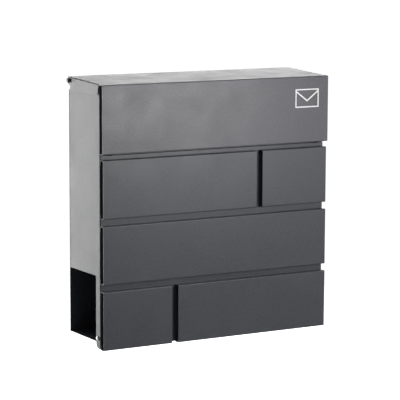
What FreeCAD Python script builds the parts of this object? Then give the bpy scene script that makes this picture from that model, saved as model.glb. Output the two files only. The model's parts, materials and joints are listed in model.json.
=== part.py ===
import FreeCAD, Part
import math
import os
from collections import namedtuple

import Sketcher

# A wall letterbox of folded sheet steel. +X is the viewer's right, +Y points into the wall and +Z is up.
# The origin is the centre of the four wall screw holes, on the wall's surface. Lengths are in millimetres.
# Heights in the sheet are measured from the foot of the door's lowest plate, and depths from the wall.

DIMENSIONS = [
    ("steel", 0.8, "thickness of the folded sheet steel"),
    ("bend", 0.6, "inside radius of the folds"),
    ("running_gap", 0.3, "space between parts that move past each other"),
    ("pin_play", 0.05, "radial play of a hinge pin in its hole"),
    ("depth", 110, "wall to the lid's front face"),
    ("wall_gap", 3, "wall to the back panel, the height of its embossed pads"),
    ("hole_height", 235, "centre of the wall screw holes above the foot"),
    ("hole_spacing_wide", 290, "wall screw holes, side to side"),
    ("hole_spacing_high", 190, "wall screw holes, top to bottom"),
    ("hole_radius", 3, "wall screw hole"),
    ("emboss_radius", 12, "pad pressed into the back panel round a screw hole"),
    ("lid_width", 370, "outside the lid's side flanges"),
    ("plates_width", 366.8, "raised door plates, end to end"),
    ("door_width", 367.8, "outside the door tray's side flanges"),
    ("body_width", 365.6, "outside the side panels"),
    ("lid_proud", 1, "lid's face in front of the door plates' faces"),
    ("lid_front_top", 371, "height of the lid's top at the front"),
    ("lid_rise", 5, "how much higher the lid's top is at the back"),
    ("lid_front_foot", 275, "height of the foot of the lid's front"),
    ("lid_return", 8.5, "depth of the fold under the lid's front"),
    ("lid_flange_foot", 357, "height of the lower edge of the lid's side flanges"),
    ("lid_flange_start", 12.1, "lid face to the side flange, along the top"),
    ("lid_flange_slant", 2.8, "how far the side flange's front edge leans back"),
    ("lid_rear_foot", 365, "height of the lower edge of the lid's rear flange"),
    ("lid_rear_half", 180, "half the width of the lid's rear flange"),
    ("lid_pin_height", 370.5, "height of the lid's hinge axis"),
    ("lid_pin_depth", 7.7, "lid's hinge axis in front of the wall"),
    ("ear_radius", 5.2, "lid's ear round the hinge pin"),
    ("tab_radius", 4.1, "side panel's tab round the hinge pin"),
    ("pin_radius", 2.5, "hinge pins"),
    ("pin_head_radius", 3.3, "hinge pins' heads"),
    ("pin_head", 2.5, "height of the lid pins' heads"),
    ("plate_rise", 9.2, "door tray's face to the raised plates' faces"),
    ("plate_lip", 6, "fold of a raised plate that lies on the tray"),
    ("plate_high", 82, "height of the upper raised plates"),
    ("plate_high_low", 83, "height of the lowest raised plates"),
    ("plate_gap", 10, "groove between the rows of plates"),
    ("plate_split", 10, "upright groove between two plates of a row"),
    ("split_offset", 69.4, "upright grooves off the middle"),
    ("tray_foot", 0.9, "height of the door tray's lower edge"),
    ("tray_top", 272.4, "height of the door tray's upper edge"),
    ("tray_flange", 13, "depth of the tray's side flanges"),
    ("tray_return", 5.8, "depth of the fold along the tray's top"),
    ("door_pin_height", 15.3, "height of the door's hinge axis"),
    ("door_pin_back", 7.3, "door's hinge axis behind the tray's face"),
    ("body_foot", 9.5, "height of the underside of the bottom plate"),
    ("body_back_top", 357.6, "height of the back panel's top edge"),
    ("body_top", 361.2, "height of the side panels' top edge"),
    ("notch_height", 362.2, "height of the side panels' peak in front of the hinge"),
    ("notch_back", 11.2, "side panels' peak in front of the wall"),
    ("side_strip", 12.3, "width of the side panels beside the newspaper compartment"),
    ("seam", 12, "width of the folds that join two panels"),
    ("opening_top", 103.2, "height of the newspaper compartment's roof"),
    ("floor_lip", 10, "upright lip at the front of the letter compartment's floor"),
    ("slot_panel_foot", 273.2, "height of the slot panel's lower edge"),
    ("slot_panel_top", 369, "height of the slot panel's upper edge"),
    ("slot_width", 325, "mail slot"),
    ("slot_foot", 314, "height of the mail slot's lower edge"),
    ("slot_top", 346, "height of the mail slot's upper edge"),
    ("slot_corner", 3, "mail slot's corner radius"),
    ("baffle_width", 340, "anti-theft baffle"),
    ("baffle_depth", 25, "slot panel to the baffle's flange"),
    ("baffle_run", 16, "how far the baffle slopes back"),
    ("baffle_drop", 37, "how far the baffle slopes down"),
    ("lock_height", 288, "height of the lock's axis"),
    ("lock_flange_radius", 10, "lock's front flange"),
    ("lock_flange", 2, "thickness of the lock's front flange"),
    ("lock_radius", 8, "lock's barrel"),
    ("lock_nut_depth", 4, "thickness of the lock's nut"),
    ("lock_length", 16.8, "lock's barrel behind the slot panel's face"),
    ("plug_radius", 6, "turning part of the lock"),
    ("plug_tail", 6, "square that drives the cam"),
    ("cam_thick", 1.6, "lock's cam"),
    ("cam_reach", 26, "lock's axis to the cam's tip"),
    ("cam_width", 12, "lock's cam"),
    ("catch_width", 32, "lock catch"),
    ("catch_foot", 240, "height of the lock catch's lower edge"),
    ("catch_arm", 256, "height of the underside of the catch's arm"),
    ("catch_top", 268, "height of the top of the catch's lip"),
    ("catch_back", 20.4, "tray's face to the back of the catch's lip"),
    ("rivet_radius", 1.6, "rivets"),
    ("rivet_head_radius", 3.2, "rivets' heads"),
    ("rivet_head", 1, "height of the rivets' heads"),
    ("rivet_tail_radius", 2.4, "rivets' closed ends"),
    ("rivet_tail", 2, "length of the rivets' closed ends"),
    ("rivet_pitch", 76, "rivets up the back"),
    ("rivet_low", 122, "height of the lowest rivets of the back"),
    ("catch_rivet_offset", 9, "catch's rivets off the middle"),
    ("bumper_offset", 169, "rubber bumpers off the middle"),
    ("bumper_depth", 5.8, "lid's face to the middle of a bumper"),
    ("bumper_radius", 3.4, "rubber bumpers"),
    ("bumper_drop", 2, "bumpers below the lid's front"),
    ("bumper_neck", 2, "radius of the bumpers' necks"),
    ("emblem_width", 40, "envelope drawn on the lid"),
    ("emblem_high", 27, "envelope drawn on the lid"),
    ("emblem_line", 1.8, "width of the envelope's lines"),
    ("emblem_flap", 16, "envelope's upper edge to the point of its flap"),
    ("emblem_slope", 2.5, "height of the flap's sloping lines, measured upright"),
    ("emblem_film", 0.15, "thickness of the envelope's film"),
    ("emblem_right", 16.4, "lid's right edge to the envelope"),
    ("emblem_top", 353, "height of the envelope's upper edge"),
]

NEAR = 0.001
OVERCUT = 1
PLANES = {"XY": ("XY_Plane", 1), "XZ": ("XZ_Plane", -1), "YZ": ("YZ_Plane", 1)}
Circle = namedtuple("Circle", "u v radius")

doc = FreeCAD.newDocument("letterbox")
sheet = doc.addObject("Spreadsheet::Sheet", "dims")
pieces = []


class Size:
    """A length together with the expression that works it out from the sheet's cells."""

    def __init__(self, value, text):
        self.value = float(value)
        self.text = text

    def __neg__(self):
        return Size(-self.value, f"(-{self.text})")

    def __add__(self, other):
        other = as_size(other)
        return Size(self.value + other.value, f"({self.text} + {other.text})")

    def __sub__(self, other):
        other = as_size(other)
        return Size(self.value - other.value, f"({self.text} - {other.text})")

    def __mul__(self, other):
        other = as_size(other)
        return Size(self.value * other.value, f"({self.text} * {other.text})")

    def __truediv__(self, other):
        other = as_size(other)
        return Size(self.value / other.value, f"({self.text} / {other.text})")


def as_size(value):
    return value if isinstance(value, Size) else Size(value, f"({float(value)})")


def hypotenuse(a, b):
    return Size(math.hypot(a.value, b.value), f"sqrt({a.text} ^ 2 + {b.text} ^ 2)")


def fill_sheet():
    """Writes the driving dimensions and returns them by name."""
    sizes = {}
    for row, (alias, value, note) in enumerate(DIMENSIONS, 1):
        sheet.set(f"A{row}", alias)
        sheet.set(f"B{row}", str(value))
        sheet.set(f"C{row}", note)
        sheet.setAlias(f"B{row}", alias)
        sizes[alias] = Size(value, f"dims.{alias}")
    doc.recompute()
    return namedtuple("Sizes", sizes)(**sizes)


dims = fill_sheet()


def bind(thing, prop, size):
    thing.setExpression(prop, as_size(size).text)


def up(height):
    """Z of a height above the foot of the door's lowest plate."""
    return height - dims.hole_height


# ---------------------------------------------------------------- features shared by all pieces


def new_body(label):
    body = doc.addObject("PartDesign::Body", label)
    body.Label = label
    pieces.append(body)
    return body


def add_loop(sketch, points):
    """Closed outline through the points, each held by its two distances from the sketch's origin."""
    first = sketch.GeometryCount
    count = len(points)
    vectors = [FreeCAD.Vector(u.value, v.value, 0) for u, v in points]
    sketch.addGeometry([Part.LineSegment(vectors[i], vectors[(i + 1) % count]) for i in range(count)])
    for i, (u, v) in enumerate(points):
        here = first + i
        sketch.addConstraint(Sketcher.Constraint("Coincident", here, 2, first + (i + 1) % count, 1))
        for kind, size in (("DistanceX", u), ("DistanceY", v)):
            number = sketch.addConstraint(Sketcher.Constraint(kind, -1, 1, here, 1, size.value))
            bind(sketch, f"Constraints[{number}]", size)


def add_circle(sketch, circle):
    here = sketch.GeometryCount
    centre = FreeCAD.Vector(circle.u.value, circle.v.value, 0)
    sketch.addGeometry(Part.Circle(centre, FreeCAD.Vector(0, 0, 1), circle.radius.value))
    for kind, size in (("DistanceX", circle.u), ("DistanceY", circle.v)):
        number = sketch.addConstraint(Sketcher.Constraint(kind, -1, 1, here, 3, size.value))
        bind(sketch, f"Constraints[{number}]", size)
    number = sketch.addConstraint(Sketcher.Constraint("Radius", here, circle.radius.value))
    bind(sketch, f"Constraints[{number}]", circle.radius)


def draw(body, plane, level, loops):
    """Sketch parallel to one of the body's origin planes, crossing that plane's own axis at level."""
    role, sign = PLANES[plane]
    sketch = body.newObject("Sketcher::SketchObject", f"{body.Name}_outline")
    origin_plane = next(f for f in body.Origin.OriginFeatures if f.Role == role)
    sketch.AttachmentSupport = [(origin_plane, "")]
    sketch.MapMode = "FlatFace"
    bind(sketch, "AttachmentOffset.Base.z", level * sign)
    for loop in loops:
        if isinstance(loop, Circle):
            add_circle(sketch, Circle(*map(as_size, loop)))
        else:
            add_loop(sketch, [(as_size(u), as_size(v)) for u, v in loop])
    return sketch


def pad(body, plane, low, high, *loops):
    """Adds the outlines' prism between two levels along the plane's own axis."""
    low = as_size(low)
    high = as_size(high)
    start = high if PLANES[plane][1] < 0 else low
    sketch = draw(body, plane, start, loops)
    feature = body.newObject("PartDesign::Pad", f"{body.Name}_pad")
    feature.Profile = sketch
    bind(feature, "Length", high - low)
    doc.recompute()


def pocket(body, plane, low, high, *loops):
    """Takes the outlines' prism between two levels out of the body."""
    before = body.Shape.Volume
    low = as_size(low)
    high = as_size(high)
    start = low if PLANES[plane][1] < 0 else high
    sketch = draw(body, plane, start, loops)
    feature = body.newObject("PartDesign::Pocket", f"{body.Name}_pocket")
    feature.Profile = sketch
    bind(feature, "Length", high - low)
    doc.recompute()
    if body.Shape.Volume > before - NEAR:
        raise RuntimeError(f"{feature.Name} cuts nothing")


def check_state(item):
    if "Invalid" in item.State or "Error" in item.State:
        raise RuntimeError(f"{item.Name} failed: {item.State}")


def edges_at(shape, place):
    """Names of the edges whose ends all lie at the given coordinates, such as {"x": 3, "y": 0}."""
    names = []
    for number, edge in enumerate(shape.Edges, 1):
        ends = [vertex.Point for vertex in edge.Vertexes]
        if all(abs(getattr(p, axis) - as_size(v).value) < NEAR for p in ends for axis, v in place.items()):
            names.append(f"Edge{number}")
    return names


def round_named(body, radius, names):
    base = body.Tip
    feature = body.newObject("PartDesign::Fillet", f"{body.Name}_fillet")
    feature.Base = (base, names)
    bind(feature, "Radius", radius)
    doc.recompute()
    check_state(feature)


def round_edges(body, radius, *places):
    """Rounds the edges found at the given coordinates."""
    names = [name for place in places for name in edges_at(body.Tip.Shape, place)]
    if not names:
        wanted = [{axis: as_size(v).value for axis, v in place.items()} for place in places]
        raise RuntimeError(f"{body.Name} has no edge at {wanted}")
    round_named(body, radius, names)


def rectangle(u_low, u_high, v_low, v_high):
    return [(u_low, v_low), (u_high, v_low), (u_high, v_high), (u_low, v_high)]


def mirrored_pair(low, high):
    """The same span on the left and on the right."""
    return [(-high, -low), (low, high)]


TURNS = {
    "x": FreeCAD.Rotation(FreeCAD.Vector(0, 1, 0), 90),
    "y": FreeCAD.Rotation(FreeCAD.Vector(1, 0, 0), -90),
    "z": FreeCAD.Rotation(),
}


def turned(label, axis, x, y, z, steps):
    """A turned piece: steps are (length, radius at the start, radius at the end), stacked along the axis."""
    position = {"x": as_size(x), "y": as_size(y), "z": as_size(z)}
    stack = []
    for number, (length, start_radius, end_radius) in enumerate(steps):
        tapered = abs(start_radius.value - end_radius.value) > NEAR
        kind = "Part::Cone" if tapered else "Part::Cylinder"
        step = doc.addObject(kind, f"{label}_step{number}")
        step.Placement = FreeCAD.Placement(FreeCAD.Vector(), TURNS[axis])
        if tapered:
            bind(step, "Radius1", start_radius)
            bind(step, "Radius2", end_radius)
        else:
            bind(step, "Radius", start_radius)
        bind(step, "Height", length)
        for name, size in position.items():
            bind(step, f"Placement.Base.{name}", size)
        position[axis] = position[axis] + length
        stack.append(step)
    whole = doc.addObject("Part::MultiFuse", label)
    whole.Label = label
    whole.Shapes = stack
    whole.Refine = True
    return whole


def group(label, members):
    """Identical loose pieces that share one node."""
    compound = doc.addObject("Part::Compound", label)
    compound.Label = label
    compound.Links = members
    pieces.append(compound)


# ---------------------------------------------------------------- planes that several pieces share

lid_face = -dims.depth
plate_face = lid_face + dims.lid_proud
tray_face = plate_face + dims.plate_rise
tray_back = tray_face + dims.steel
flange_end = tray_face + dims.tray_flange
body_front = tray_back + dims.steel
back_outside = -dims.wall_gap
back_inside = back_outside - dims.steel
seam_front = back_inside - dims.steel

lid_half = dims.lid_width / 2
plates_half = dims.plates_width / 2
door_half = dims.door_width / 2
door_inside = door_half - dims.steel
body_half = dims.body_width / 2
body_inside = body_half - dims.steel
seam_half = body_half - dims.seam

lid_back = back_outside + dims.running_gap
lid_pin_y = -dims.lid_pin_depth
door_pin_y = tray_face + dims.door_pin_back
notch_y = -dims.notch_back
outer_bend = dims.bend + dims.steel


def lid_top(y):
    """Height of the lid's sloping top at a depth."""
    slope = dims.lid_rise / (lid_back - lid_face)
    return up(dims.lid_front_top) + (y - lid_face) * slope


# ---------------------------------------------------------------- fixed body


def back_panel():
    """Flat panel with four embossed pads that stand on the wall."""
    body = new_body("back_panel")
    pad(body, "XZ", back_inside, back_outside,
        rectangle(-body_half, body_half, up(dims.body_foot), up(dims.body_back_top)))
    half_wide = dims.hole_spacing_wide / 2
    half_high = dims.hole_spacing_high / 2
    centres = [(half_wide * i, half_high * k) for i in (-1, 1) for k in (-1, 1)]
    inner_radius = dims.emboss_radius - dims.steel
    pad(body, "XZ", back_inside, 0, *[Circle(x, z, dims.emboss_radius) for x, z in centres])
    pocket(body, "XZ", back_inside, -dims.steel, *[Circle(x, z, inner_radius) for x, z in centres])
    pocket(body, "XZ", -dims.steel, 0, *[Circle(x, z, dims.hole_radius) for x, z in centres])
    pocket(body, "XZ", back_inside, back_outside, *rivet_holes())


RIVETS_PER_SIDE = 4


def back_rivet_places():
    """Centres of the rivets in the back panel's two side seams."""
    seam_middle = body_half - dims.seam / 2
    levels = [up(dims.rivet_low + dims.rivet_pitch * i) for i in range(RIVETS_PER_SIDE)]
    return [(x, z) for x in (-seam_middle, seam_middle) for z in levels]


def rivet_holes():
    return [Circle(x, z, dims.rivet_radius) for x, z in back_rivet_places()]


def side_panel(label, side):
    """Side of the body, cut away at the foot, with a fold up the back and a tab for the lid's pin."""
    body = new_body(label)
    low, high = sorted((body_inside * side, body_half * side), key=lambda size: size.value)
    strip_back = body_front + dims.side_strip - dims.steel * 2
    neck = dims.seam
    pad(body, "YZ", low, high, [
        (body_front, up(dims.body_foot)),
        (strip_back, up(dims.body_foot)),
        (strip_back, up(dims.opening_top)),
        (back_inside, up(dims.opening_top)),
        (back_inside, up(dims.body_back_top)),
        (seam_front, up(dims.body_back_top)),
        (notch_y, up(dims.notch_height)),
        (lid_pin_y + dims.tab_radius / 2, up(dims.lid_pin_height) - dims.tab_radius / 2),
        (lid_pin_y, up(dims.lid_pin_height) + dims.tab_radius),
        (notch_y - neck, up(dims.body_top)),
        (body_front, up(dims.body_top)),
    ])
    fold_low, fold_high = sorted((seam_half * side, body_half * side), key=lambda size: size.value)
    pad(body, "XZ", seam_front, back_inside,
        rectangle(fold_low, fold_high, up(dims.opening_top), up(dims.body_back_top)))
    round_edges(body, outer_bend, {"x": body_half * side, "y": back_inside})
    round_edges(body, dims.bend, {"x": body_inside * side, "y": seam_front})
    round_edges(body, dims.door_pin_back - dims.steel * 2, {"y": body_front, "z": up(dims.body_foot)})
    pad(body, "YZ", low, high, Circle(lid_pin_y, up(dims.lid_pin_height), dims.tab_radius))
    pocket(body, "YZ", low, high,
           Circle(lid_pin_y, up(dims.lid_pin_height), dims.pin_radius),
           Circle(door_pin_y, up(dims.door_pin_height), dims.pin_radius))
    holes = [hole for hole in rivet_holes() if hole.u.value * side > 0]
    pocket(body, "XZ", seam_front, back_inside, *holes)


def bottom_plate():
    """Floor of the newspaper compartment, folded up at the front and the back."""
    body = new_body("bottom_plate")
    front = door_pin_y - dims.pin_radius + dims.running_gap
    foot = up(dims.body_foot)
    lip_top = foot + dims.seam
    pad(body, "YZ", -body_inside, body_inside, [
        (front, foot),
        (back_inside, foot),
        (back_inside, lip_top),
        (seam_front, lip_top),
        (seam_front, foot + dims.steel),
        (front + dims.steel, foot + dims.steel),
        (front + dims.steel, lip_top),
        (front, lip_top),
    ])
    round_edges(body, outer_bend, {"y": front, "z": foot}, {"y": back_inside, "z": foot})
    inner_z = foot + dims.steel
    round_edges(body, dims.bend, {"y": front + dims.steel, "z": inner_z}, {"y": seam_front, "z": inner_z})
    clear_of_pin = body_inside - dims.pin_head_radius
    for low, high in mirrored_pair(clear_of_pin, body_inside + OVERCUT):
        pocket(body, "XZ", front - OVERCUT, front + dims.steel + dims.bend,
               rectangle(low, high, foot + dims.steel, lip_top + OVERCUT))


def compartment_floor():
    """Floor of the letter compartment and roof of the newspaper compartment."""
    body = new_body("compartment_floor")
    front = body_front + dims.running_gap
    foot = up(dims.opening_top)
    lip_top = foot + dims.floor_lip
    pad(body, "YZ", -body_inside, body_inside, [
        (front, foot),
        (back_inside, foot),
        (back_inside, lip_top),
        (seam_front, lip_top),
        (seam_front, foot + dims.steel),
        (front + dims.steel, foot + dims.steel),
        (front + dims.steel, lip_top),
        (front, lip_top),
    ])
    round_edges(body, outer_bend, {"y": front, "z": foot}, {"y": back_inside, "z": foot})
    inner_z = foot + dims.steel
    round_edges(body, dims.bend, {"y": front + dims.steel, "z": inner_z}, {"y": seam_front, "z": inner_z})
    for low, high in mirrored_pair(seam_half - dims.running_gap, body_inside + OVERCUT):
        pocket(body, "XZ", seam_front - dims.bend * 2, 0,
               rectangle(low, high, foot - OVERCUT, lip_top + OVERCUT))


def top_plate():
    """Fixed cover of the letter compartment under the lid."""
    body = new_body("top_plate")
    front = tray_back
    top = up(dims.body_top)
    front_foot = top - dims.floor_lip + dims.steel * 2
    rear_foot = top - dims.seam
    pad(body, "YZ", -body_inside, body_inside, [
        (front, top),
        (front, front_foot),
        (front + dims.steel, front_foot),
        (front + dims.steel, top - dims.steel),
        (seam_front, top - dims.steel),
        (seam_front, rear_foot),
        (back_inside, rear_foot),
        (back_inside, top),
    ])
    round_edges(body, outer_bend, {"y": front, "z": top}, {"y": back_inside, "z": top})
    inner_z = top - dims.steel
    round_edges(body, dims.bend, {"y": front + dims.steel, "z": inner_z}, {"y": seam_front, "z": inner_z})
    for low, high in mirrored_pair(seam_half - dims.running_gap, body_inside + OVERCUT):
        pocket(body, "XZ", notch_y - dims.seam - OVERCUT, 0,
               rectangle(low, high, rear_foot - OVERCUT, top + OVERCUT))


def slot_panel():
    """Fixed front behind the lid, with the mail slot and the lock's hole."""
    body = new_body("slot_panel")
    foot = up(dims.slot_panel_foot)
    top = up(dims.slot_panel_top)
    return_back = tray_face + dims.tray_return
    pad(body, "XZ", tray_face, flange_end, rectangle(-door_half, door_half, foot, top))
    pocket(body, "XZ", tray_back, flange_end,
           rectangle(-door_inside, door_inside, foot + dims.steel, top - dims.steel))
    round_edges(body, outer_bend, {"x": door_half, "y": tray_face}, {"x": -door_half, "y": tray_face})
    pocket(body, "XY", foot, foot + dims.steel,
           rectangle(-door_inside, door_inside, return_back, flange_end + OVERCUT))
    for low, high in mirrored_pair(body_inside - dims.running_gap, door_inside):
        pocket(body, "XY", foot, foot + dims.steel, rectangle(low, high, tray_back, flange_end))
    corner_foot = top - dims.floor_lip
    for low, high in mirrored_pair(body_half + dims.running_gap / 2, door_half + OVERCUT):
        pocket(body, "YZ", low, high, [
            (tray_back, top + OVERCUT),
            (tray_back, top),
            (flange_end + OVERCUT, corner_foot),
            (flange_end + OVERCUT, top + OVERCUT),
        ])
    pocket(body, "XZ", tray_face, tray_back,
           rectangle(-dims.slot_width / 2, dims.slot_width / 2, up(dims.slot_foot), up(dims.slot_top)),
           Circle(0, up(dims.lock_height), dims.lock_radius))
    slot_half = dims.slot_width / 2
    corners = [{"x": slot_half * i, "z": up(z)} for i in (-1, 1) for z in (dims.slot_foot, dims.slot_top)]
    round_edges(body, dims.slot_corner, *corners)


def letter_baffle():
    """Sloping plate behind the mail slot, hung under the top plate."""
    body = new_body("letter_baffle")
    top = up(dims.body_top) - dims.steel
    front = tray_back + dims.baffle_depth
    knee = front + dims.seam
    tip = knee + dims.baffle_run
    slanted = dims.steel * hypotenuse(dims.baffle_run, dims.baffle_drop) / dims.baffle_drop
    half = dims.baffle_width / 2
    lower_knee = knee - slanted + dims.baffle_run * dims.steel / dims.baffle_drop
    pad(body, "YZ", -half, half, [
        (front, top),
        (front, top - dims.steel),
        (lower_knee, top - dims.steel),
        (tip - slanted, top - dims.baffle_drop),
        (tip, top - dims.baffle_drop),
        (knee, top),
    ])


def hinge_pins():
    """Headed pins, closed inside the side panels, that the lid and the door swing on."""
    tail = dims.steel + dims.pin_play * 4
    lid_reach = lid_half - body_half + dims.running_gap
    door_reach = door_half - body_half + dims.running_gap
    for side_name, side in (("left", -1), ("right", 1)):
        for name, y, height, reach, head in (
            ("lid", lid_pin_y, dims.lid_pin_height, lid_reach, dims.pin_head),
            ("door", door_pin_y, dims.door_pin_height, door_reach, dims.pin_head - dims.steel),
        ):
            steps = [
                (tail, dims.pin_head_radius, dims.pin_head_radius),
                (dims.steel + reach, dims.pin_radius, dims.pin_radius),
                (head / 2, dims.pin_head_radius, dims.pin_head_radius),
                (head / 2, dims.pin_head_radius, dims.pin_radius),
            ]
            start = body_inside - tail
            if side < 0:
                steps = [(length, end, begin) for length, begin, end in reversed(steps)]
                start = -(body_half + reach + head)
            pieces.append(turned(f"{name}_hinge_pin_{side_name}", "x", start, y, up(height), steps))


def lid_hinge_washers():
    """Spacers between the lid's flanges and the side panels."""
    body = new_body("lid_hinge_washers")
    body.AllowCompound = True
    outside = lid_half - dims.steel - dims.pin_play
    for low, high in mirrored_pair(body_half, outside):
        pad(body, "YZ", low, high,
            Circle(lid_pin_y, up(dims.lid_pin_height), dims.ear_radius - dims.steel),
            Circle(lid_pin_y, up(dims.lid_pin_height), dims.pin_radius))


def back_rivets():
    members = []
    for number, (x, z) in enumerate(back_rivet_places()):
        steps = [
            (dims.rivet_tail, dims.rivet_tail_radius, dims.rivet_tail_radius),
            (dims.steel * 2, dims.rivet_radius, dims.rivet_radius),
            (dims.rivet_head, dims.rivet_head_radius, dims.rivet_tail_radius),
        ]
        members.append(turned(f"back_rivet{number}", "y", x, seam_front - dims.rivet_tail, z, steps))
    group("back_rivets", members)


# ---------------------------------------------------------------- lock

lock_front = tray_face - dims.lock_flange
lock_back = tray_face + dims.lock_length
cam_front = lock_back + dims.running_gap
cam_back = cam_front + dims.cam_thick
LOCK_NUT_SIDES = 6


def lock_circle(radius):
    return Circle(0, up(dims.lock_height), radius)


def lock_housing():
    body = new_body("lock_housing")
    bore = lock_circle(dims.plug_radius + dims.pin_play)
    pad(body, "XZ", lock_front, tray_face, lock_circle(dims.lock_flange_radius), bore)
    pad(body, "XZ", tray_face, lock_back, lock_circle(dims.lock_radius), bore)


def lock_washer():
    body = new_body("lock_washer")
    pad(body, "XZ", tray_back, tray_back + dims.steel,
        lock_circle(dims.lock_flange_radius + dims.steel), lock_circle(dims.lock_radius))


def lock_nut():
    body = new_body("lock_nut")
    start = tray_back + dims.steel
    corner_radius = dims.lock_flange_radius + dims.steel
    angles = [math.radians(360 / LOCK_NUT_SIDES * i) for i in range(LOCK_NUT_SIDES)]
    axis_z = up(dims.lock_height)
    hexagon = [(corner_radius * math.cos(a), corner_radius * math.sin(a) + axis_z) for a in angles]
    pad(body, "XZ", start, start + dims.lock_nut_depth, hexagon, lock_circle(dims.lock_radius))


def lock_plug():
    """Turning part of the lock, with a keyway in front and a square tail for the cam."""
    body = new_body("lock_plug")
    front = lock_front + dims.pin_play * 4
    keyway_half = dims.steel
    keyway_reach = dims.plug_radius - dims.steel * 2
    tail_half = dims.plug_tail / 2
    axis_z = up(dims.lock_height)
    pad(body, "XZ", front, cam_front, lock_circle(dims.plug_radius))
    pad(body, "XZ", cam_front, cam_back,
        rectangle(-tail_half, tail_half, axis_z - tail_half, axis_z + tail_half))
    pocket(body, "XZ", front, front + dims.plug_tail,
           rectangle(-keyway_reach, keyway_reach, axis_z - keyway_half, axis_z + keyway_half))
    pocket(body, "XZ", cam_back - dims.lock_radius, cam_back, lock_circle(dims.rivet_radius))


def lock_cam():
    """Flat arm on the plug's tail. It lies level when the door is free and turns down to lock it."""
    body = new_body("lock_cam")
    tail_half = dims.plug_tail / 2
    axis_z = up(dims.lock_height)
    half = dims.cam_width / 2
    pad(body, "XZ", cam_front, cam_back, rectangle(-half, dims.cam_reach, axis_z - half, axis_z + half))
    corners = [{"x": x, "z": axis_z + half * k} for x in (-half, dims.cam_reach) for k in (-1, 1)]
    round_edges(body, dims.cam_width / 3, *corners)
    pocket(body, "XZ", cam_front, cam_back,
           rectangle(-tail_half, tail_half, axis_z - tail_half, axis_z + tail_half))


def cam_screw():
    steps = [
        (dims.lock_radius, dims.rivet_radius, dims.rivet_radius),
        (dims.rivet_head, dims.pin_head_radius, dims.pin_head_radius),
        (dims.rivet_head, dims.pin_head_radius, dims.pin_radius),
    ]
    pieces.append(turned("cam_screw", "y", 0, cam_back - dims.lock_radius, up(dims.lock_height), steps))


# ---------------------------------------------------------------- door


def door_tray():
    """Door leaf: a tray with side flanges that the pins pass through and a short fold along its top."""
    body = new_body("door_tray")
    foot = up(dims.tray_foot)
    top = up(dims.tray_top)
    return_back = tray_face + dims.tray_return
    pad(body, "XZ", tray_face, flange_end, rectangle(-door_half, door_half, foot, top))
    pocket(body, "XZ", tray_back, flange_end,
           rectangle(-door_inside, door_inside, foot - OVERCUT, top - dims.steel))
    round_edges(body, outer_bend, {"x": door_half, "y": tray_face}, {"x": -door_half, "y": tray_face})
    pocket(body, "XY", top - dims.steel, top,
           rectangle(-door_inside, door_inside, return_back, flange_end + OVERCUT))
    for low, high in mirrored_pair(body_inside - dims.running_gap, door_inside):
        pocket(body, "XY", top - dims.steel, top, rectangle(low, high, tray_back, flange_end))
    round_edges(body, dims.lock_radius, {"y": flange_end, "z": foot})
    round_edges(body, dims.slot_corner, {"y": flange_end, "z": top})
    hole = Circle(door_pin_y, up(dims.door_pin_height), dims.pin_radius + dims.pin_play)
    pocket(body, "YZ", -door_half - OVERCUT, door_half + OVERCUT, hole)
    pocket(body, "XZ", tray_face, tray_back, *catch_rivet_holes())


def door_plate(label, left, right, foot, high):
    """Raised plate: a channel along X, open at its ends, whose lips lie on the tray."""
    body = new_body(label)
    top = foot + high
    back = tray_face
    pad(body, "YZ", left, right, [
        (plate_face, foot),
        (back, foot),
        (back, foot + dims.plate_lip),
        (back - dims.steel, foot + dims.plate_lip),
        (back - dims.steel, foot + dims.steel),
        (plate_face + dims.steel, foot + dims.steel),
        (plate_face + dims.steel, top - dims.steel),
        (back - dims.steel, top - dims.steel),
        (back - dims.steel, top - dims.plate_lip),
        (back, top - dims.plate_lip),
        (back, top),
        (plate_face, top),
    ])
    outer = [{"y": y, "z": z} for y in (plate_face, back) for z in (foot, top)]
    inner_y = (plate_face + dims.steel, back - dims.steel)
    inner = [{"y": y, "z": z} for y in inner_y for z in (foot + dims.steel, top - dims.steel)]
    round_edges(body, outer_bend, *outer)
    round_edges(body, dims.bend, *inner)


def door_plates():
    """Five raised plates in a staggered brick pattern."""
    low = up(as_size(0))
    middle = low + dims.plate_high_low + dims.plate_gap
    high = middle + dims.plate_high + dims.plate_gap
    half_split = dims.plate_split / 2
    low_split = -dims.split_offset
    high_split = dims.split_offset
    door_plate("door_plate_bottom_left", -plates_half, low_split - half_split, low, dims.plate_high_low)
    door_plate("door_plate_bottom_right", low_split + half_split, plates_half, low, dims.plate_high_low)
    door_plate("door_plate_middle", -plates_half, plates_half, middle, dims.plate_high)
    door_plate("door_plate_top_left", -plates_half, high_split - half_split, high, dims.plate_high)
    door_plate("door_plate_top_right", high_split + half_split, plates_half, high, dims.plate_high)


def catch_rivet_places():
    z = up(dims.catch_foot + (dims.catch_arm - dims.catch_foot) / 2)
    return [(-dims.catch_rivet_offset, z), (dims.catch_rivet_offset, z)]


def catch_rivet_holes():
    return [Circle(x, z, dims.rivet_radius) for x, z in catch_rivet_places()]


def lock_catch():
    """Folded bracket whose lip stands behind the turned-down cam."""
    body = new_body("lock_catch")
    half = dims.catch_width / 2
    back = tray_face + dims.catch_back
    arm = up(dims.catch_arm)
    pad(body, "YZ", -half, half, [
        (tray_back, up(dims.catch_foot)),
        (tray_back + dims.steel, up(dims.catch_foot)),
        (tray_back + dims.steel, arm),
        (back, arm),
        (back, up(dims.catch_top)),
        (back - dims.steel, up(dims.catch_top)),
        (back - dims.steel, arm + dims.steel),
        (tray_back, arm + dims.steel),
    ])
    round_edges(body, outer_bend, {"y": back, "z": arm}, {"y": tray_back, "z": arm + dims.steel})
    lip_root = {"y": back - dims.steel, "z": arm + dims.steel}
    arm_root = {"y": tray_back + dims.steel, "z": arm}
    round_edges(body, dims.bend, lip_root, arm_root)
    pocket(body, "XZ", tray_back, tray_back + dims.steel, *catch_rivet_holes())


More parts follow.
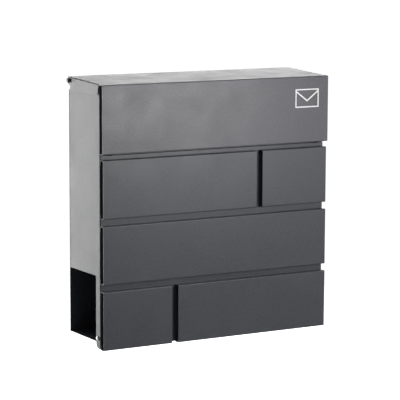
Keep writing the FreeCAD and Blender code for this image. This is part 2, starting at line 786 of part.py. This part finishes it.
def catch_rivets():
    members = []
    for number, (x, z) in enumerate(catch_rivet_places()):
        steps = [
            (dims.rivet_head, dims.rivet_tail_radius, dims.rivet_head_radius),
            (dims.steel * 2, dims.rivet_radius, dims.rivet_radius),
            (dims.rivet_tail, dims.rivet_tail_radius, dims.rivet_tail_radius),
        ]
        members.append(turned(f"catch_rivet{number}", "y", x, tray_face - dims.rivet_head, z, steps))
    group("catch_rivets", members)


# ---------------------------------------------------------------- lid


def lid_shell():
    """Folded lid: front, sloping top, side flanges with an ear behind, and short folds below and behind."""
    body = new_body("lid_shell")
    inside = lid_half - dims.steel
    foot = up(dims.lid_front_foot)
    face_back = lid_face + dims.steel
    return_back = lid_face + dims.lid_return
    rear_inside = lid_back - dims.steel
    front_top = up(dims.lid_front_top)
    pad(body, "YZ", -lid_half, lid_half, [
        (lid_face, foot),
        (return_back, foot),
        (return_back, foot + dims.steel),
        (face_back, foot + dims.steel),
        (face_back, lid_top(face_back) - dims.steel),
        (rear_inside, lid_top(rear_inside) - dims.steel),
        (rear_inside, up(dims.lid_rear_foot)),
        (lid_back, up(dims.lid_rear_foot)),
        (lid_back, lid_top(lid_back)),
        (lid_face, front_top),
    ])
    flange_front = lid_face + dims.lid_flange_start
    flange_foot = up(dims.lid_flange_foot)
    slant_end = flange_front + dims.lid_flange_slant
    for low, high in mirrored_pair(inside, lid_half):
        pad(body, "YZ", low, high, [
            (flange_front, lid_top(flange_front)),
            (slant_end, flange_foot),
            (notch_y - dims.steel, flange_foot),
            (notch_y, up(dims.notch_height)),
            (lid_pin_y, up(dims.lid_rear_foot)),
            (lid_back, up(dims.lid_pin_height)),
            (lid_back, lid_top(lid_back)),
        ])
    for low, high in mirrored_pair(dims.lid_rear_half, lid_half + OVERCUT):
        pocket(body, "XZ", rear_inside - dims.bend, lid_back,
               rectangle(low, high, flange_foot, front_top + dims.lid_rise + OVERCUT))
    for low, high in mirrored_pair(inside - dims.bend, lid_half):
        pocket(body, "XY", front_top - dims.steel * 2, front_top + dims.lid_rise,
               rectangle(low, high, flange_front - dims.steel, flange_front))
    round_edges(body, outer_bend, {"y": lid_face, "z": foot}, {"y": lid_face, "z": front_top})
    round_edges(body, dims.bend, {"y": face_back, "z": foot + dims.steel})
    side_bends = [side_bend(body, side) for side in (-1, 1)]
    round_named(body, outer_bend, side_bends)
    ear = Circle(lid_pin_y, up(dims.lid_pin_height), dims.ear_radius)
    hole = Circle(lid_pin_y, up(dims.lid_pin_height), dims.pin_radius + dims.pin_play)
    for low, high in mirrored_pair(inside, lid_half):
        pad(body, "YZ", low, high, ear)
    pocket(body, "YZ", -lid_half - OVERCUT, lid_half + OVERCUT, hole)
    pocket(body, "XY", foot, foot + dims.steel, *[Circle(x, y, dims.bumper_neck) for x, y in bumper_places()])


def side_bend(body, side):
    """Name of the long sloping edge where the lid's top meets a side flange."""
    for number, edge in enumerate(body.Tip.Shape.Edges, 1):
        on_side = all(abs(vertex.X - lid_half.value * side) < NEAR for vertex in edge.Vertexes)
        long_slope = edge.BoundBox.YLength > dims.depth.value / 2 and edge.BoundBox.ZLength > 1
        if on_side and long_slope:
            return f"Edge{number}"
    raise RuntimeError("the lid has no side bend")


def bumper_places():
    y = lid_face + dims.bumper_depth
    return [(-dims.bumper_offset, y), (dims.bumper_offset, y)]


def lid_bumpers():
    """Rubber buttons pushed through the fold under the lid's front."""
    foot = up(dims.lid_front_foot)
    for side_name, (x, y) in zip(("left", "right"), bumper_places()):
        steps = [
            (dims.bumper_drop / 3, dims.bumper_neck + dims.steel, dims.bumper_radius),
            (dims.bumper_drop * 2 / 3, dims.bumper_radius, dims.bumper_radius),
            (dims.steel, dims.bumper_neck, dims.bumper_neck),
            (dims.steel * 2, dims.bumper_neck + dims.steel, dims.bumper_neck),
        ]
        pieces.append(turned(f"lid_bumper_{side_name}", "z", x, y, foot - dims.bumper_drop, steps))


def envelope_emblem():
    """White film on the lid: the outline of an envelope with its flap."""
    body = new_body("envelope_emblem")
    right = lid_half - dims.emblem_right
    left = right - dims.emblem_width
    top = up(dims.emblem_top)
    foot = top - dims.emblem_high
    line = dims.emblem_line
    middle = right - dims.emblem_width / 2
    flap = top - dims.emblem_flap
    flap_start = top - line
    front = lid_face - dims.emblem_film
    pad(body, "XZ", front, lid_face,
        rectangle(left, right, foot, top),
        rectangle(left + line, right - line, foot + line, top - line))
    pad(body, "XZ", front, lid_face, [
        (left + line / 2, flap_start),
        (middle, flap),
        (right - line / 2, flap_start),
        (right - line / 2, flap_start - dims.emblem_slope),
        (middle, flap - dims.emblem_slope),
        (left + line / 2, flap_start - dims.emblem_slope),
    ])


# ---------------------------------------------------------------- checks and export


def check_document():
    for item in doc.Objects:
        check_state(item)
    for piece in pieces:
        if piece.Shape.isNull() or not piece.Shape.isValid() or not piece.Shape.Solids:
            raise RuntimeError(f"{piece.Label} has no valid solid")


def export():
    os.makedirs("parts", exist_ok=True)
    for piece in pieces:
        piece.Shape.exportStep(f"parts/{piece.Label}.step")
        box = piece.Shape.BoundBox
        extents = f"{box.XLength:6.1f} {box.YLength:6.1f} {box.ZLength:6.1f}"
        print(f"{piece.Label:26s} {len(piece.Shape.Solids)} solids  {extents}")


back_panel()
side_panel("left_side_panel", -1)
side_panel("right_side_panel", 1)
bottom_plate()
compartment_floor()
top_plate()
slot_panel()
letter_baffle()
hinge_pins()
lid_hinge_washers()
back_rivets()
lock_housing()
lock_washer()
lock_nut()
lock_plug()
lock_cam()
cam_screw()
door_tray()
door_plates()
lock_catch()
catch_rivets()
lid_shell()
lid_bumpers()
envelope_emblem()
doc.recompute()
check_document()
export()
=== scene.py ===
import json
import math

import bmesh
import bpy
from mathutils import Matrix, Vector


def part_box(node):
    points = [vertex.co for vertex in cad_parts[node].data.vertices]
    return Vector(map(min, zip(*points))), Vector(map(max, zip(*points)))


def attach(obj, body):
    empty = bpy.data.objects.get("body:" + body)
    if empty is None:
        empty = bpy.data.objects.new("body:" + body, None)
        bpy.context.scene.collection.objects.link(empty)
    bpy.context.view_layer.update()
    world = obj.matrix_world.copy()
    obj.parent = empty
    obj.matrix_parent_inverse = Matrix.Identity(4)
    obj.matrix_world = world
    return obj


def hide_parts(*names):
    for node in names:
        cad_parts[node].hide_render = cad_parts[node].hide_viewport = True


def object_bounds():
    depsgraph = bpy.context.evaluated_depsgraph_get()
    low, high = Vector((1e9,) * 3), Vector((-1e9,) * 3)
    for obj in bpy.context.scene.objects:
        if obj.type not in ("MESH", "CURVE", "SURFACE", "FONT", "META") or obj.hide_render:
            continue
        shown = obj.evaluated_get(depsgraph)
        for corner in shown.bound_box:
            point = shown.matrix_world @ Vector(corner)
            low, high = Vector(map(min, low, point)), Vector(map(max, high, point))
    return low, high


# A wall letterbox of powder-coated sheet steel on a plain pale set. Everything is in metres, in
# the CAD frame: +X is the viewer's right, +Y points into the wall and +Z is up.

MM = 0.001

# ---------------------------------------------------------------- node helpers

NOISE_SPAN = (0.3, 0.7)  # a noise keeps nearly all of its values in here
FULL_SPAN = (0, 1)


def new_material(name):
    """A material with a Principled shader, and the tools to build on it."""
    material = bpy.data.materials.new(name)
    material.use_nodes = True
    tree = material.node_tree
    shader = next(n for n in tree.nodes if n.type == "BSDF_PRINCIPLED")
    return material, tree, shader


def noise(tree, scale, detail, roughness=0.5, stretch=(1, 1, 1)):
    """Noise in the piece's own coordinates; scale is in features per metre."""
    coordinates = tree.nodes.new("ShaderNodeTexCoord")
    mapping = tree.nodes.new("ShaderNodeMapping")
    mapping.inputs["Scale"].default_value = stretch
    texture = tree.nodes.new("ShaderNodeTexNoise")
    texture.inputs["Scale"].default_value = scale
    texture.inputs["Detail"].default_value = detail
    texture.inputs["Roughness"].default_value = roughness
    tree.links.new(coordinates.outputs["Object"], mapping.inputs["Vector"])
    tree.links.new(mapping.outputs["Vector"], texture.inputs["Vector"])
    return texture.outputs["Fac"]


def spread(tree, value, old_span, new_span):
    """Maps one span of a value to another, held at the ends."""
    node = tree.nodes.new("ShaderNodeMapRange")
    node.inputs["From Min"].default_value = old_span[0]
    node.inputs["From Max"].default_value = old_span[1]
    node.inputs["To Min"].default_value = new_span[0]
    node.inputs["To Max"].default_value = new_span[1]
    tree.links.new(value, node.inputs["Value"])
    return node.outputs["Result"]


def shade(colour, factor, lift=0):
    """The colour times a factor, with every channel lifted by the same amount."""
    return tuple(channel * factor + lift for channel in colour)


def mix_colours(tree, factor, first, second):
    """The first colour where the factor is 0 and the second where it is 1."""
    node = tree.nodes.new("ShaderNodeMix")
    node.data_type = "RGBA"
    colour_sockets = [s for s in node.inputs if s.type == "RGBA"]
    for socket, colour in zip(colour_sockets, (first, second)):
        if isinstance(colour, tuple):
            socket.default_value = (*colour, 1)
        else:
            tree.links.new(colour, socket)
    tree.links.new(factor, node.inputs[0])
    return next(s for s in node.outputs if s.type == "RGBA")


def multiply(tree, first, second):
    """The product of a socket and either a socket or a number."""
    node = tree.nodes.new("ShaderNodeMath")
    node.operation = "MULTIPLY"
    for socket, value in zip(node.inputs, (first, second)):
        if isinstance(value, (int, float)):
            socket.default_value = value
        else:
            tree.links.new(value, socket)
    return node.outputs["Value"]


def edge_mask(tree, radius, lean_span):
    """1 along sharp edges and 0 on flat faces, from how far a rounded normal leans off the true one.

    lean_span holds the cosines between the two normals at which the mask is 0 and 1.
    """
    rounded_normal = tree.nodes.new("ShaderNodeBevel")
    rounded_normal.samples = 6
    rounded_normal.inputs["Radius"].default_value = radius
    geometry = tree.nodes.new("ShaderNodeNewGeometry")
    cosine = tree.nodes.new("ShaderNodeVectorMath")
    cosine.operation = "DOT_PRODUCT"
    tree.links.new(rounded_normal.outputs["Normal"], cosine.inputs[0])
    tree.links.new(geometry.outputs["Normal"], cosine.inputs[1])
    return spread(tree, cosine.outputs["Value"], lean_span, FULL_SPAN)


def bump(tree, shader, *layers):
    """Stacks bumps on the shader's normal; each layer is (height, distance, strength)."""
    normal = None
    for height, distance, strength in layers:
        node = tree.nodes.new("ShaderNodeBump")
        node.inputs["Strength"].default_value = strength
        node.inputs["Distance"].default_value = distance
        tree.links.new(height, node.inputs["Height"])
        if normal is not None:
            tree.links.new(normal, node.inputs["Normal"])
        normal = node.outputs["Normal"]
    tree.links.new(normal, shader.inputs["Normal"])


# ---------------------------------------------------------------- materials

# Features per metre in a powder coat: slow clouds of colour, light flecks, breaks in the lighter
# edges (worn paint and a painted highlight), patches of gloss, slight waves in the sheet, and pebbles
# in the skin.
CLOUD_SCALE = 7
FLECK_SCALE = 420
BREAK_SCALE = 220
GLOSS_SCALE = 30
WAVE_SCALE = 22
PEBBLE_SCALE = 700

# Which span of the noise makes the flecks and breaks, and how much of them it makes.
FLECK_SPAN = (0.42, 0.72)
FLECK_AMOUNT = (0, 0.8)
BREAK_SPAN = (0.35, 0.75)
BREAK_AMOUNT = (0.15, 1)

# How deep and how strong the bumps are.
WAVES = (0.12 * MM, 0.1)
PEBBLES = (0.04 * MM, 0.6)

# The lighter edges, partly wear and partly a painted highlight, lie where a rounded normal leans off
# the true one.
EDGE_RADIUS = 0.5 * MM
EDGE_LEAN = (0.985, 0.86)
EDGE_WEAR_AND_HIGHLIGHT = 0.45
COAT_IOR = 1.52


def powder_coat(name, colour, roughness_span):
    """Fine-textured satin powder coat, with lighter edges that are partly worn paint and partly a
    painted highlight.
    """
    material, tree, shader = new_material(name)
    darker = shade(colour, 0.88)
    lighter = shade(colour, 1.12)
    fleck_colour = shade(colour, 1.5)
    # the edge colour is lighter: partly worn paint, partly a painted highlight
    worn_edge_highlight = shade(colour, 1.9, 0.01)

    clouds = spread(tree, noise(tree, CLOUD_SCALE, 3), NOISE_SPAN, FULL_SPAN)
    base = mix_colours(tree, clouds, darker, lighter)
    flecks = spread(tree, noise(tree, FLECK_SCALE, 4, 0.7), FLECK_SPAN, FLECK_AMOUNT)
    flecked = mix_colours(tree, flecks, base, fleck_colour)
    breaks = spread(tree, noise(tree, BREAK_SCALE, 3), BREAK_SPAN, BREAK_AMOUNT)
    # the edge mask lightens the edges, as wear and as a painted highlight
    wear_and_highlight = multiply(tree, edge_mask(tree, EDGE_RADIUS, EDGE_LEAN), breaks)
    wear_and_highlight = multiply(tree, wear_and_highlight, EDGE_WEAR_AND_HIGHLIGHT)
    tree.links.new(mix_colours(tree, wear_and_highlight, flecked, worn_edge_highlight), shader.inputs["Base Color"])

    gloss = spread(tree, noise(tree, GLOSS_SCALE, 4, 0.6), NOISE_SPAN, roughness_span)
    tree.links.new(gloss, shader.inputs["Roughness"])
    shader.inputs["IOR"].default_value = COAT_IOR

    pebbles = noise(tree, PEBBLE_SCALE, 4, 0.65)
    waves = noise(tree, WAVE_SCALE, 1)
    bump(tree, shader, (waves, *WAVES), (pebbles, *PEBBLES))
    return material


def bright_metal(name, colour, roughness_span, stretch=(1, 1, 1), scratch=0.3):
    """Bare or plated metal with fine brushing and small bright and dull patches.

    stretch is the brushing's scale along each axis, and a larger number packs it closer.
    """
    material, tree, shader = new_material(name)
    shader.inputs["Metallic"].default_value = 1
    patch_scale = 90
    brushing_scale = 700
    patches = spread(tree, noise(tree, patch_scale, 4, 0.6), NOISE_SPAN, FULL_SPAN)
    patched = mix_colours(tree, patches, shade(colour, 0.82), colour)
    tree.links.new(patched, shader.inputs["Base Color"])
    brushing = noise(tree, brushing_scale, 4, 0.7, stretch)
    tree.links.new(spread(tree, brushing, NOISE_SPAN, roughness_span), shader.inputs["Roughness"])
    bump(tree, shader, (brushing, 0.02 * MM, scratch))
    return material


def rubber(name, colour, roughness_span):
    """Moulded rubber with a dusty bloom."""
    material, tree, shader = new_material(name)
    bloom_scale = 260
    patch_scale = 500
    skin_scale = 1500
    bloom = spread(tree, noise(tree, bloom_scale, 4, 0.7), (0.35, 0.75), (0, 0.5))
    dusty = shade(colour, 2, 0.02)
    tree.links.new(mix_colours(tree, bloom, colour, dusty), shader.inputs["Base Color"])
    patches = spread(tree, noise(tree, patch_scale, 2), NOISE_SPAN, roughness_span)
    tree.links.new(patches, shader.inputs["Roughness"])
    bump(tree, shader, (noise(tree, skin_scale, 2), 0.02 * MM, 0.4))
    return material


def printed_film(name, colour, roughness_span):
    """Matt white print, a little uneven like screen ink."""
    material, tree, shader = new_material(name)
    ink_scale = 300
    patch_scale = 120
    skin_scale = 1200
    ink = spread(tree, noise(tree, ink_scale, 3), (0.35, 0.65), FULL_SPAN)
    tree.links.new(mix_colours(tree, ink, shade(colour, 0.9), colour), shader.inputs["Base Color"])
    patches = spread(tree, noise(tree, patch_scale, 2), NOISE_SPAN, roughness_span)
    tree.links.new(patches, shader.inputs["Roughness"])
    bump(tree, shader, (noise(tree, skin_scale, 2), 0.01 * MM, 0.3))
    return material


def make_materials():
    """The finish of each material slot, and a copy of the coat for the lid, painted lighter to stand
    in for the stronger light on it.
    """
    finishes = [
        # name, maker, colour, span of roughness, and what else the maker takes
        ("anthracite_coat", powder_coat, (0.044, 0.047, 0.056), (0.36, 0.44), {}),
        # the lid's copy of the coat is painted lighter: painted light for the brighter light that
        # falls on the lid
        ("lid_coat", powder_coat, (0.068, 0.067, 0.078), (0.35, 0.42), {}),
        ("zinc_plated_steel", bright_metal, (0.72, 0.71, 0.68), (0.22, 0.38), {"stretch": (1, 1, 6)}),
        ("lock_chrome", bright_metal, (0.78, 0.78, 0.79), (0.08, 0.16), {"scratch": 0.1}),
        ("rivet_aluminium", bright_metal, (0.66, 0.67, 0.69), (0.28, 0.42), {"scratch": 0.2}),
        ("black_rubber", rubber, (0.012, 0.012, 0.013), (0.6, 0.8), {}),
        ("white_film", printed_film, (0.9, 0.9, 0.9), (0.4, 0.55), {}),
    ]
    materials = {}
    for name, maker, colour, roughness_span, extras in finishes:
        materials[name] = maker(name, colour, roughness_span, **extras)
    return materials


def paint_nodes(frame, materials):
    """Gives every CAD node the finish of its slot in the record, and the lid the copy of the coat
    painted lighter as painted light.
    """
    for part in frame["record"]["subparts"]:
        # the lid takes the coat painted lighter, which is painted light
        finish = "lid_coat" if part["node"] == "lid_shell" else part["material_slot"]
        mesh = frame["nodes"][part["node"]].data
        mesh.materials.clear()
        mesh.materials.append(materials[finish])


# ---------------------------------------------------------------- turned pieces

SIDES = 48
BEND_STEPS = 6
SHARP_ANGLE = math.radians(40)
X_AXIS = Vector((1, 0, 0))
Y_AXIS = Vector((0, 1, 0))
Z_AXIS = Vector((0, 0, 1))


def rounded(corners):
    """A profile through corners, with a smooth bend at each.

    A corner is (distance along the axis, radius, rounding), all in metres.
    """
    points = []
    for i, (along, radius, rounding) in enumerate(corners):
        corner = Vector((along, radius))
        if rounding == 0:
            points.append(corner)
            continue
        before = (Vector(corners[i - 1][:2]) - corner).normalized() * rounding
        after = (Vector(corners[(i + 1) % len(corners)][:2]) - corner).normalized() * rounding
        for step in range(BEND_STEPS + 1):
            t = step / BEND_STEPS
            points.append(corner + before * (1 - t) ** 2 + after * t ** 2)
    return points


def turn_profile(mesh, base, direction, profile, ring=False):
    """Adds a solid of revolution to the mesh.

    A ring's profile is a closed loop clear of the axis. Any other starts and ends on the axis.
    """
    side = direction.orthogonal().normalized()
    across = direction.cross(side)
    angles = [math.tau * i / SIDES for i in range(SIDES)]
    spokes = [side * math.cos(angle) + across * math.sin(angle) for angle in angles]
    rings = []
    for along, radius in profile:
        centre = base + direction * along
        if radius == 0:
            rings.append([mesh.verts.new(centre)])
        else:
            rings.append([mesh.verts.new(centre + spoke * radius) for spoke in spokes])
    pairs = list(zip(rings, rings[1:]))
    if ring:
        pairs.append((rings[-1], rings[0]))
    for first, second in pairs:
        for i in range(SIDES):
            following = (i + 1) % SIDES
            loop = [first[i % len(first)], first[following % len(first)]]
            loop += [second[following % len(second)], second[i % len(second)]]
            mesh.faces.new(list(dict.fromkeys(loop)))


def place_piece(frame, materials, mesh, node, body):
    """Makes an object of the mesh, in place of a CAD node, with the node's finish.

    It moves with the body of that name.
    """
    slot = next(part["material_slot"] for part in frame["record"]["subparts"] if part["node"] == node)
    bmesh.ops.recalc_face_normals(mesh, faces=mesh.faces)
    data = bpy.data.meshes.new(f"{node}_turned")
    mesh.to_mesh(data)
    mesh.free()
    data.shade_smooth()
    data.set_sharp_from_angle(angle=SHARP_ANGLE)
    data.materials.append(materials[slot])
    piece = bpy.data.objects.new(f"{node}_turned", data)
    bpy.context.scene.collection.objects.link(piece)
    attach(piece, body)
    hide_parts(node)


PIN_RADIUS = 2.5 * MM
PIN_TAIL = 1.0 * MM
PIN_DIMPLE = 0.4 * MM
PINS = [
    # which pins, height of the head, rounding of its face as a share of its radius
    ("lid", 2.5 * MM, 0.15),
    ("door", 1.7 * MM, 0.4),
]


def hinge_pin(node, side, head, doming):
    """Head outside, and a shank pressed flat inside with a dimple from the tool."""
    low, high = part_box(node)
    middle = (low + high) / 2
    length = high.x - low.x
    radius = (high.z - low.z) / 2
    shank_end = length - PIN_TAIL
    outer = high.x if side > 0 else low.x
    mesh = bmesh.new()
    turn_profile(mesh, Vector((outer, middle.y, middle.z)), X_AXIS * -side, rounded([
        (0, 0, 0),
        (0, radius * (1 - doming * 0.6), radius * doming),
        (head * 0.6, radius, head * 0.3),
        (head, radius, 0.1 * MM),
        (head, PIN_RADIUS, 0),
        (shank_end, PIN_RADIUS, 0),
        (shank_end, radius, 0.1 * MM),
        (length, radius * 0.9, 0.4 * MM),
        (length, radius * 0.5, 0.2 * MM),
        (length - PIN_DIMPLE, radius * 0.3, 0.2 * MM),
        (length - PIN_DIMPLE, 0, 0),
    ]))
    return mesh


def hinge_pins(frame, materials):
    """The lid's and the door's pins, two of each."""
    for name, head, doming in PINS:
        for side_name, side in (("left", -1), ("right", 1)):
            node = f"{name}_hinge_pin_{side_name}"
            place_piece(frame, materials, hinge_pin(node, side, head, doming), node, "box")


RIVET_SHANK = 1.6 * MM
RIVET_HEAD = 1.0 * MM
RIVET_TAIL = 2.0 * MM
RIVET_HEAD_RADIUS = 3.2 * MM
MANDREL_RADIUS = 0.7 * MM
MANDREL_DEPTH = 0.45 * MM
RIVETS = [
    # node, body, rivets in each of its two upright rows, and the side of the heads: 1 is towards the
    # wall and -1 is towards the viewer
    ("back_rivets", "box", 4, 1),
    ("catch_rivets", "door", 1, -1),
]


def rivet_profile(length):
    """Blind rivet: a domed head with the sunk end of its mandrel, and a swollen tail."""
    tail_radius = RIVET_SHANK * 1.5
    tail = length - RIVET_TAIL
    return rounded([
        (MANDREL_DEPTH, 0, 0),
        (MANDREL_DEPTH, MANDREL_RADIUS, 0.1 * MM),
        (0, 1.0 * MM, 0.15 * MM),
        (0.05 * MM, 1.9 * MM, 0.4 * MM),
        (RIVET_HEAD * 0.8, RIVET_HEAD_RADIUS, 0.15 * MM),
        (RIVET_HEAD, RIVET_HEAD_RADIUS, 0),
        (RIVET_HEAD, RIVET_SHANK, 0),
        (tail, RIVET_SHANK, 0),
        (tail + 0.3 * MM, tail_radius, 0.5 * MM),
        (length, tail_radius * 0.8, 0.6 * MM),
        (length, 0, 0),
    ])


def rivets(frame, materials):
    """Four rivets up each seam of the back, and two in the lock catch."""
    for node, body, rows, outward in RIVETS:
        low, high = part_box(node)
        first = low + Vector((RIVET_HEAD_RADIUS, 0, RIVET_HEAD_RADIUS))
        last = high - Vector((RIVET_HEAD_RADIUS, 0, RIVET_HEAD_RADIUS))
        profile = rivet_profile(high.y - low.y)
        outside = high.y if outward > 0 else low.y
        mesh = bmesh.new()
        for x in (first.x, last.x):
            for row in range(rows):
                z = first.z + (last.z - first.z) * row / max(rows - 1, 1)
                turn_profile(mesh, Vector((x, outside, z)), Y_AXIS * -outward, profile)
        place_piece(frame, materials, mesh, node, body)


def cam_screw(frame, materials):
    """Pan-headed screw with a washer face, seen from inside."""
    low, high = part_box("cam_screw")
    middle = (low + high) / 2
    length = high.y - low.y
    radius = (high.x - low.x) / 2
    head = 2.0 * MM
    shank = 1.6 * MM
    recess = 0.7 * MM
    mesh = bmesh.new()
    turn_profile(mesh, Vector((middle.x, high.y, middle.z)), -Y_AXIS, rounded([
        (recess, 0, 0),
        (recess, 0.9 * MM, 0.2 * MM),
        (0, 1.1 * MM, 0.1 * MM),
        (0, radius * 0.7, 0.8 * MM),
        (head * 0.6, radius * 0.92, 0.4 * MM),
        (head * 0.7, radius * 0.92, 0),
        (head * 0.7, radius, 0.1 * MM),
        (head, radius, 0.1 * MM),
        (head, shank, 0),
        (length - 0.6 * MM, shank, 0.2 * MM),
        (length, shank * 0.6, 0.1 * MM),
        (length, 0, 0),
    ]))
    place_piece(frame, materials, mesh, "cam_screw", "lock_plug")


def lid_bumpers(frame, materials):
    """Mushroom-shaped rubber buttons pulled through the fold under the lid."""
    neck = 2.0 * MM
    drop = 2.0 * MM
    fold = 0.8 * MM
    for node in ("lid_bumper_left", "lid_bumper_right"):
        low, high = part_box(node)
        middle = (low + high) / 2
        radius = (high.x - low.x) / 2
        length = high.z - low.z
        mesh = bmesh.new()
        turn_profile(mesh, Vector((middle.x, middle.y, low.z)), Z_AXIS, rounded([
            (0, 0, 0),
            (0, radius * 0.7, radius * 0.3),
            (drop * 0.45, radius, drop * 0.3),
            (drop, radius, 0.3 * MM),
            (drop, neck, 0),
            (drop + fold, neck, 0),
            (drop + fold, neck + fold, 0.2 * MM),
            (length, neck * 0.8, 0.3 * MM),
            (length, 0, 0),
        ]))
        place_piece(frame, materials, mesh, node, "lid")


def lock_housing(frame, materials):
    """Round lock body: a flange with a rolled rim and a threaded barrel."""
    low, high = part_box("lock_housing")
    middle = (low + high) / 2
    flange = 2.0 * MM
    bore = 6.05 * MM
    barrel = 8.0 * MM
    pitch = 1.0 * MM
    depth = 0.35 * MM
    length = high.y - low.y
    radius = (high.x - low.x) / 2
    thread_start = flange + pitch
    threads = int((length - thread_start - pitch) / pitch)
    thread = []
    for i in range(threads):
        thread.append((thread_start + pitch * i, barrel - depth, 0))
        thread.append((thread_start + pitch * (i + 0.5), barrel, 0))
    mesh = bmesh.new()
    turn_profile(mesh, Vector((middle.x, low.y, middle.z)), Y_AXIS, rounded([
        (0.2 * MM, bore, 0.15 * MM),
        (0, bore + 0.8 * MM, 0.3 * MM),
        (0, radius - 1.2 * MM, 0.8 * MM),
        (flange * 0.6, radius, 0.5 * MM),
        (flange, radius, 0.1 * MM),
        (flange, barrel - depth, 0),
        *thread,
        (length, barrel - depth, 0.2 * MM),
        (length, bore, 0.1 * MM),
    ]), ring=True)
    place_piece(frame, materials, mesh, "lock_housing", "box")


# ---------------------------------------------------------------- set

CAMERA_BEARING = math.radians(30.1)
CAMERA_DOWN = math.radians(8.15)
CAMERA_ROLL = math.radians(0.2)
CAMERA_DISTANCE = 2.87
CAMERA_LENS = 178.5
SENSOR_WIDTH = 36
CAMERA_REACH = 50
AIM_RIGHT = 1.4 * MM
AIM_UP = 5.5 * MM


def make_camera(centre):
    """Camera to the left of the box and a little above it, looking slightly down."""
    data = bpy.data.cameras.new("camera")
    data.lens = CAMERA_LENS
    data.sensor_width = SENSOR_WIDTH
    data.clip_end = CAMERA_REACH
    camera = bpy.data.objects.new("camera", data)
    bpy.context.scene.collection.objects.link(camera)
    forward = Vector((
        math.sin(CAMERA_BEARING) * math.cos(CAMERA_DOWN),
        math.cos(CAMERA_BEARING) * math.cos(CAMERA_DOWN),
        -math.sin(CAMERA_DOWN),
    ))
    level_right = Vector((math.cos(CAMERA_BEARING), -math.sin(CAMERA_BEARING), 0))
    level_up = level_right.cross(forward)
    right = level_right * math.cos(CAMERA_ROLL) + level_up * math.sin(CAMERA_ROLL)
    up = right.cross(forward)
    aim = centre + level_right * AIM_RIGHT + level_up * AIM_UP
    place = aim - forward * CAMERA_DISTANCE
    axes = Matrix((right, up, -forward)).transposed()
    camera.matrix_world = Matrix.Translation(place) @ axes.to_4x4()
    bpy.context.scene.camera = camera


LIGHTS = [
    # name, bearing from the viewer's side (0 is in front, 90 to the right, 180 behind), height angle,
    # distance, width, height, power
    ("front_key", 18, 12, 0.8, 0.3, 0.3, 2.5),
    ("front_fill", 25, 5, 1.0, 0.35, 0.35, 1.4),
    ("front_right", 45, 5, 1.8, 0.8, 0.8, 3),
    ("front_top", 0, 65, 1.3, 1.2, 0.8, 4),
    ("left_side", -150, -5, 1.6, 1.0, 1.2, 6),
    ("left_back", -165, 0, 1.8, 1.0, 1.2, 20),
    ("back_right", 150, 9, 2.2, 1.6, 0.8, 19),
]


def make_lights(centre):
    """Soft rectangular lights that face the centre of the box and don't show in the picture."""
    for name, bearing, height_angle, distance, width, height, power in LIGHTS:
        data = bpy.data.lights.new(name, "AREA")
        data.shape = "RECTANGLE"
        data.size = width
        data.size_y = height
        data.energy = power
        lamp = bpy.data.objects.new(name, data)
        bpy.context.scene.collection.objects.link(lamp)
        turn = math.radians(bearing)
        lift = math.radians(height_angle)
        level = math.cos(lift)
        away = Vector((math.sin(turn) * level, -math.cos(turn) * level, math.sin(lift)))
        lamp.location = centre + away * distance
        lamp.rotation_mode = "QUATERNION"
        lamp.rotation_quaternion = away.to_track_quat("Z", "Y")
        lamp.visible_camera = False


SKY_LIGHT = 0.1
SKY_BACKGROUND = 1


def make_sky():
    """White surroundings, dimmer as a light than as a background."""
    world = bpy.data.worlds.new("sky")
    world.use_nodes = True
    tree = world.node_tree
    tree.nodes.clear()
    rays = tree.nodes.new("ShaderNodeLightPath")
    level = tree.nodes.new("ShaderNodeMapRange")
    level.inputs["To Min"].default_value = SKY_LIGHT
    level.inputs["To Max"].default_value = SKY_BACKGROUND
    background = tree.nodes.new("ShaderNodeBackground")
    output = tree.nodes.new("ShaderNodeOutputWorld")
    tree.links.new(rays.outputs["Is Camera Ray"], level.inputs["Value"])
    tree.links.new(level.outputs["Result"], background.inputs["Strength"])
    tree.links.new(background.outputs["Background"], output.inputs["Surface"])
    bpy.context.scene.world = world


FLOOR_DROP = 0.35
FLOOR_REACH = 60
FLOOR_GREYS = (0.86, 0.9)
FLOOR_ROUGHNESS = 0.9


def make_floor(low):
    """Plain pale floor well below the box, which hangs on a wall.

    The camera sees it as white as the sky.
    """
    mesh = bpy.data.meshes.new("floor")
    height = low.z - FLOOR_DROP
    turns = ((-1, -1), (1, -1), (1, 1), (-1, 1))
    corners = [(x * FLOOR_REACH, y * FLOOR_REACH, height) for x, y in turns]
    mesh.from_pydata(corners, [], [(0, 1, 2, 3)])
    floor = bpy.data.objects.new("floor", mesh)
    bpy.context.scene.collection.objects.link(floor)
    material, tree, shader = new_material("pale_floor")
    speckle = spread(tree, noise(tree, 60, 3), NOISE_SPAN, FULL_SPAN)
    darker, lighter = ((grey, grey, grey) for grey in FLOOR_GREYS)
    tree.links.new(mix_colours(tree, speckle, darker, lighter), shader.inputs["Base Color"])
    shader.inputs["Roughness"].default_value = FLOOR_ROUGHNESS
    shader.inputs["Emission Color"].default_value = (1, 1, 1, 1)
    rays = tree.nodes.new("ShaderNodeLightPath")
    tree.links.new(rays.outputs["Is Camera Ray"], shader.inputs["Emission Strength"])
    mesh.materials.append(material)


# ---------------------------------------------------------------- scene

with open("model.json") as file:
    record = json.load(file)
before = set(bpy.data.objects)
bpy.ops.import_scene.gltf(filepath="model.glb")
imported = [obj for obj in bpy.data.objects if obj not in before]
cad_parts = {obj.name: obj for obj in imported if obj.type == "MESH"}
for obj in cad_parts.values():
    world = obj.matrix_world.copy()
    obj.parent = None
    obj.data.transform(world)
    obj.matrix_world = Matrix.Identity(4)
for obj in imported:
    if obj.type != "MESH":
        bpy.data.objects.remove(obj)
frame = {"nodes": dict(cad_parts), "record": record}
cad_low, cad_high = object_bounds()
middle = (cad_low + cad_high) / 2
make_camera(middle)
make_lights(middle)
make_sky()
make_floor(cad_low)
bpy.context.scene.view_settings.view_transform = "Standard"
materials = make_materials()
paint_nodes(frame, materials)
hinge_pins(frame, materials)
rivets(frame, materials)
cam_screw(frame, materials)
lid_bumpers(frame, materials)
lock_housing(frame, materials)
